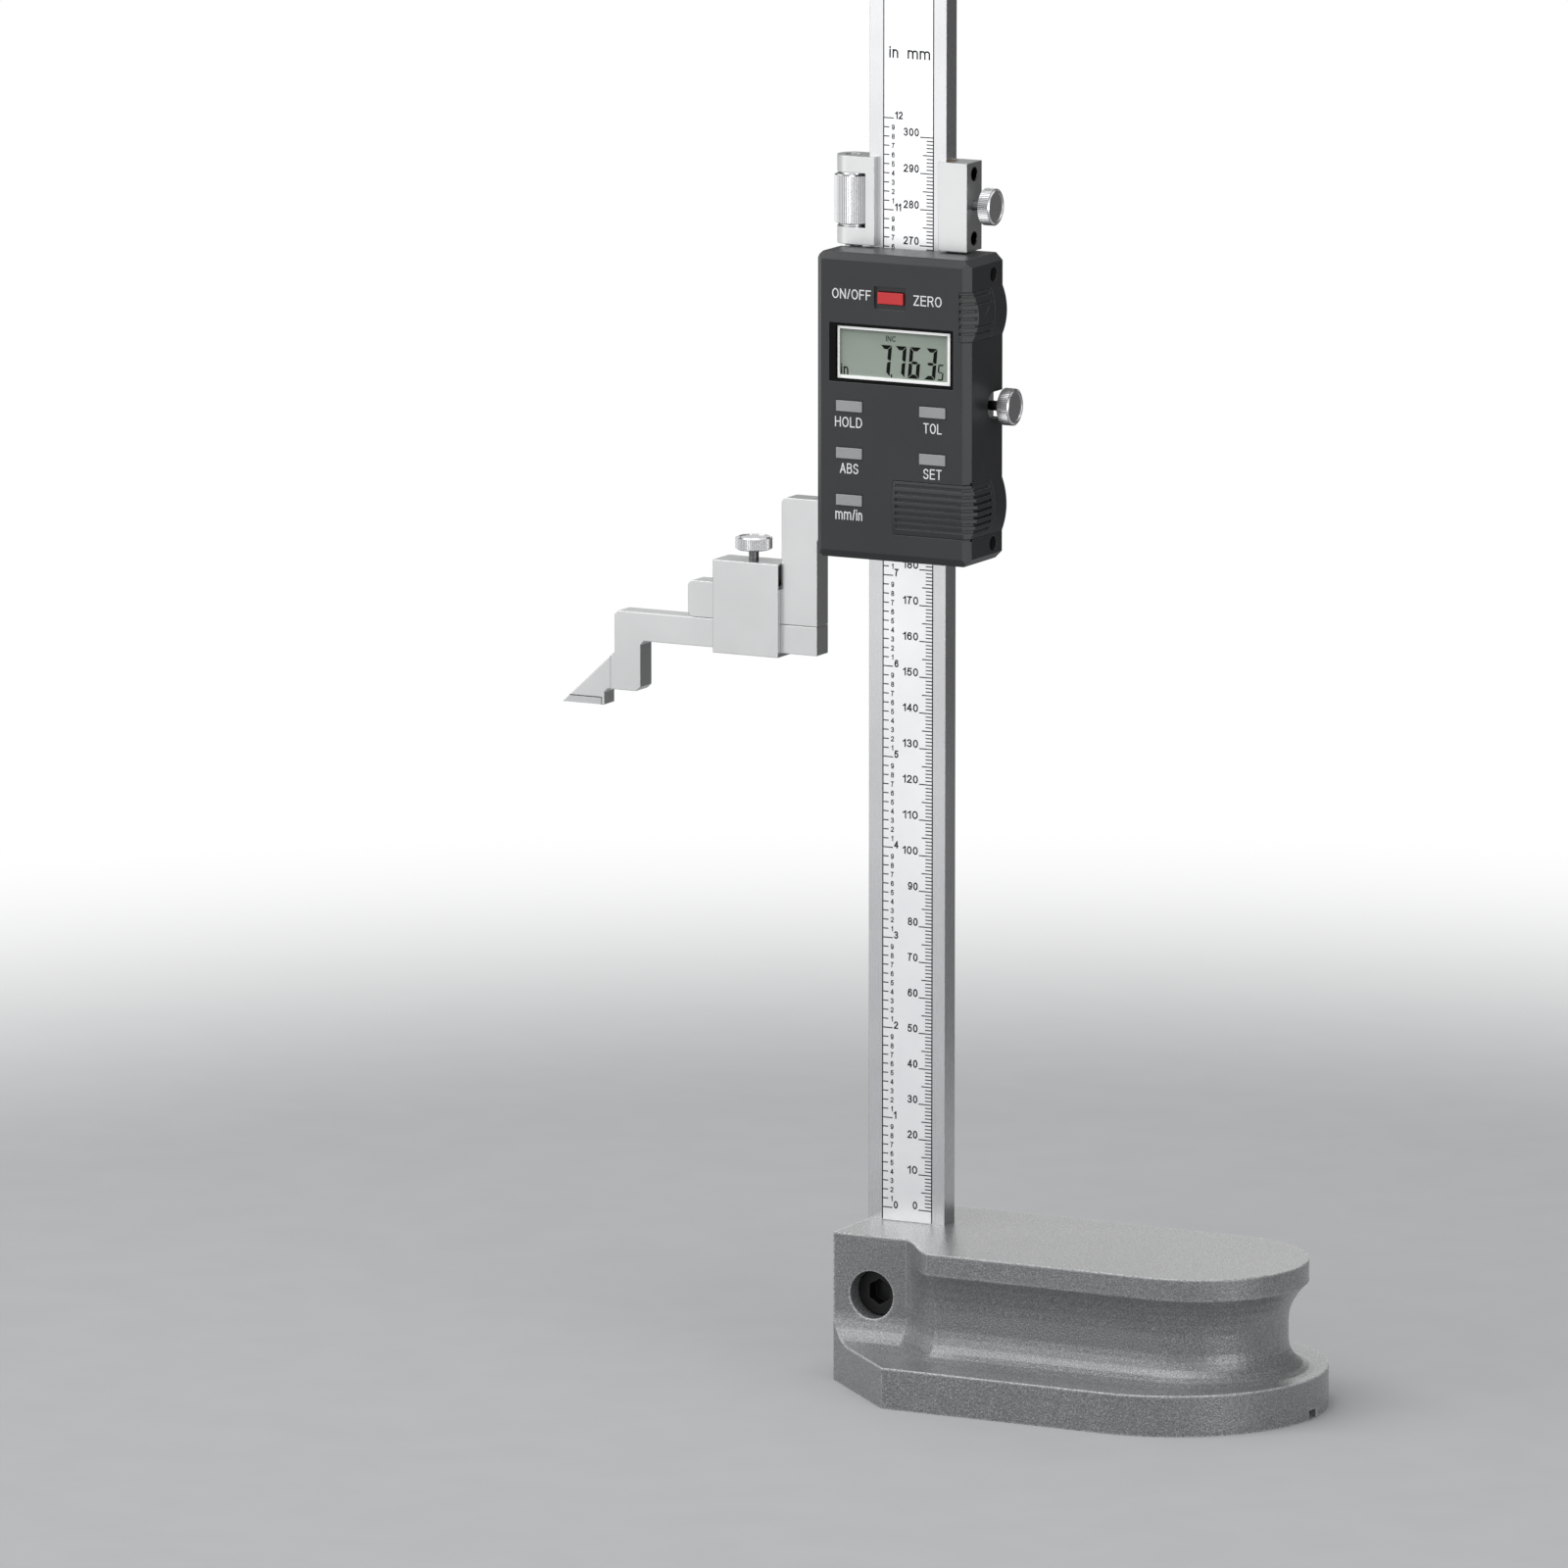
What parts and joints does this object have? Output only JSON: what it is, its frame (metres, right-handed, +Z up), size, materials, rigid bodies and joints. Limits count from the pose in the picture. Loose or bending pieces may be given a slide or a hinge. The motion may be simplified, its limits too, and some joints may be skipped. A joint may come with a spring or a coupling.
{
  "type": "digital height gauge",
  "caption": "Digital height gauge: cast base, graduated beam, sliding display unit with fine adjustment, and a clamped carbide-tipped scriber.",
  "frame": {"origin": "underside of the base, straight below the centre of the beam", "axes": "+X along the base towards its round end, -Y towards the reader, +Z up the beam"},
  "size_m": [0.2374, 0.0868, 0.478],
  "materials": {
    "base_iron": "fine speckled grey enamel on cast iron",
    "black_steel": "black oxide",
    "ground_steel": "ground along its length",
    "scale_face": "satin face with fine black graduations",
    "screw_steel": "turned",
    "satin_steel": "satin chrome on steel",
    "chrome": "bright turned and knurled",
    "brass": "plain",
    "board": "green solder mask",
    "housing": "satin charcoal",
    "rubber": "translucent grey silicone",
    "lcd": "grey-green reflective liquid crystal",
    "white_plastic": "smooth white",
    "window": "clear with a black printed border",
    "red_key": "smooth red",
    "grey_key": "smooth mid grey",
    "cell_steel": "drawn can",
    "black_plastic": "moulded",
    "carbide": "ground hard metal"
  },
  "bodies": {
    "root": {"base": "base_iron", "base_clamp_screw": "black_steel", "beam": "ground_steel", "scale_strip": "scale_face", "beam_stop_screws": "screw_steel"},
    "slider": {"slider_frame": "satin_steel", "slider_gib": "brass", "slider_gib_screws": "black_steel", "reader_plate": "board", "display_chassis": "housing", "circuit_board": "board", "lcd_connectors": "rubber", "lcd_panel": "lcd", "lcd_frame": "white_plastic", "display_cover": "housing", "display_window": "window", "cover_screws": "screw_steel", "key_mat": "rubber", "battery": "cell_steel", "battery_contacts": "brass", "data_port": "black_plastic", "fine_feed_screw": "screw_steel"},
    "slider_lock": {"slider_clamp_screw": "chrome"},
    "fine_carriage": {"carriage": "satin_steel", "carriage_plate": "satin_steel", "carriage_plate_screws": "screw_steel", "carriage_gib": "brass", "carriage_gib_screws": "black_steel"},
    "carriage_lock": {"carriage_clamp_screw": "chrome"},
    "fine_nut": {"fine_feed_nut": "chrome"},
    "clamp_box": {"scriber_clamp": "satin_steel", "scriber_clamp_pad": "brass"},
    "scriber_lock": {"scriber_clamp_screw": "chrome"},
    "scriber_bar": {"scriber": "satin_steel", "scriber_tip": "carbide"},
    "battery_door": {"battery_cover": "housing"},
    "port_door": {"data_port_cover": "housing"},
    "on_zero": {"on_zero_key": "red_key"},
    "hold": {"hold_key": "grey_key"},
    "abs": {"abs_key": "grey_key"},
    "unit": {"unit_key": "grey_key"},
    "tol": {"tol_key": "grey_key"},
    "set": {"set_key": "grey_key"}
  },
  "joints": [
    {"name": "slider_travel", "type": "slide", "parent": "root", "child": "slider", "axis": [0, 0, 1], "range_m": [-0.1792, 0.1208]},
    {"name": "slider_lock_turn", "type": "hinge", "parent": "slider", "child": "slider_lock", "pos_m": [0.028, -0.0018, 0.2726], "axis": [1, 0, 0], "range_deg": [0, 360]},
    {"name": "fine_feed", "type": "slide", "parent": "slider", "child": "fine_carriage", "axis": [0, 0, 1], "range_m": [0, 0.008]},
    {"name": "carriage_lock_turn", "type": "hinge", "parent": "fine_carriage", "child": "carriage_lock", "pos_m": [0.02, -0.00055, 0.3273], "axis": [1, 0, 0], "range_deg": [0, 360]},
    {"name": "fine_nut_spin", "type": "hinge", "parent": "fine_carriage", "child": "fine_nut", "pos_m": [-0.01795, -0.00055, 0.3271], "axis": [0, 0, 1], "range_deg": [-5, 4120]},
    {"name": "clamp_box_slide", "type": "slide", "parent": "slider", "child": "clamp_box", "axis": [1, 0, 0], "range_m": [-0.008, 0]},
    {"name": "scriber_lock_turn", "type": "hinge", "parent": "clamp_box", "child": "scriber_lock", "pos_m": [-0.05115, 0.00345, 0.225], "axis": [0, 0, 1], "range_deg": [0, 360]},
    {"name": "scriber_slide", "type": "slide", "parent": "slider", "child": "scriber_bar", "axis": [1, 0, 0], "range_m": [-0.015, 0.01]},
    {"name": "battery_door_slide", "type": "slide", "parent": "slider", "child": "battery_door", "axis": [1, 0, 0], "range_m": [0, 0.025]},
    {"name": "port_door_slide", "type": "slide", "parent": "slider", "child": "port_door", "axis": [1, 0, 0], "range_m": [0, 0.008]},
    {"name": "on_zero_press", "type": "slide", "parent": "slider", "child": "on_zero", "axis": [0, 1, 0], "range_m": [0, 0.0005], "stiffness_N_per_m": 2000},
    {"name": "hold_press", "type": "slide", "parent": "slider", "child": "hold", "axis": [0, 1, 0], "range_m": [0, 0.0005], "stiffness_N_per_m": 2000},
    {"name": "abs_press", "type": "slide", "parent": "slider", "child": "abs", "axis": [0, 1, 0], "range_m": [0, 0.0005], "stiffness_N_per_m": 2000},
    {"name": "unit_press", "type": "slide", "parent": "slider", "child": "unit", "axis": [0, 1, 0], "range_m": [0, 0.0005], "stiffness_N_per_m": 2000},
    {"name": "tol_press", "type": "slide", "parent": "slider", "child": "tol", "axis": [0, 1, 0], "range_m": [0, 0.0005], "stiffness_N_per_m": 2000},
    {"name": "set_press", "type": "slide", "parent": "slider", "child": "set", "axis": [0, 1, 0], "range_m": [0, 0.0005], "stiffness_N_per_m": 2000}
  ],
  "couplings": [
    {"joint": "fine_nut_spin", "follows": "fine_feed", "rad_per_m": 8976}
  ]
}
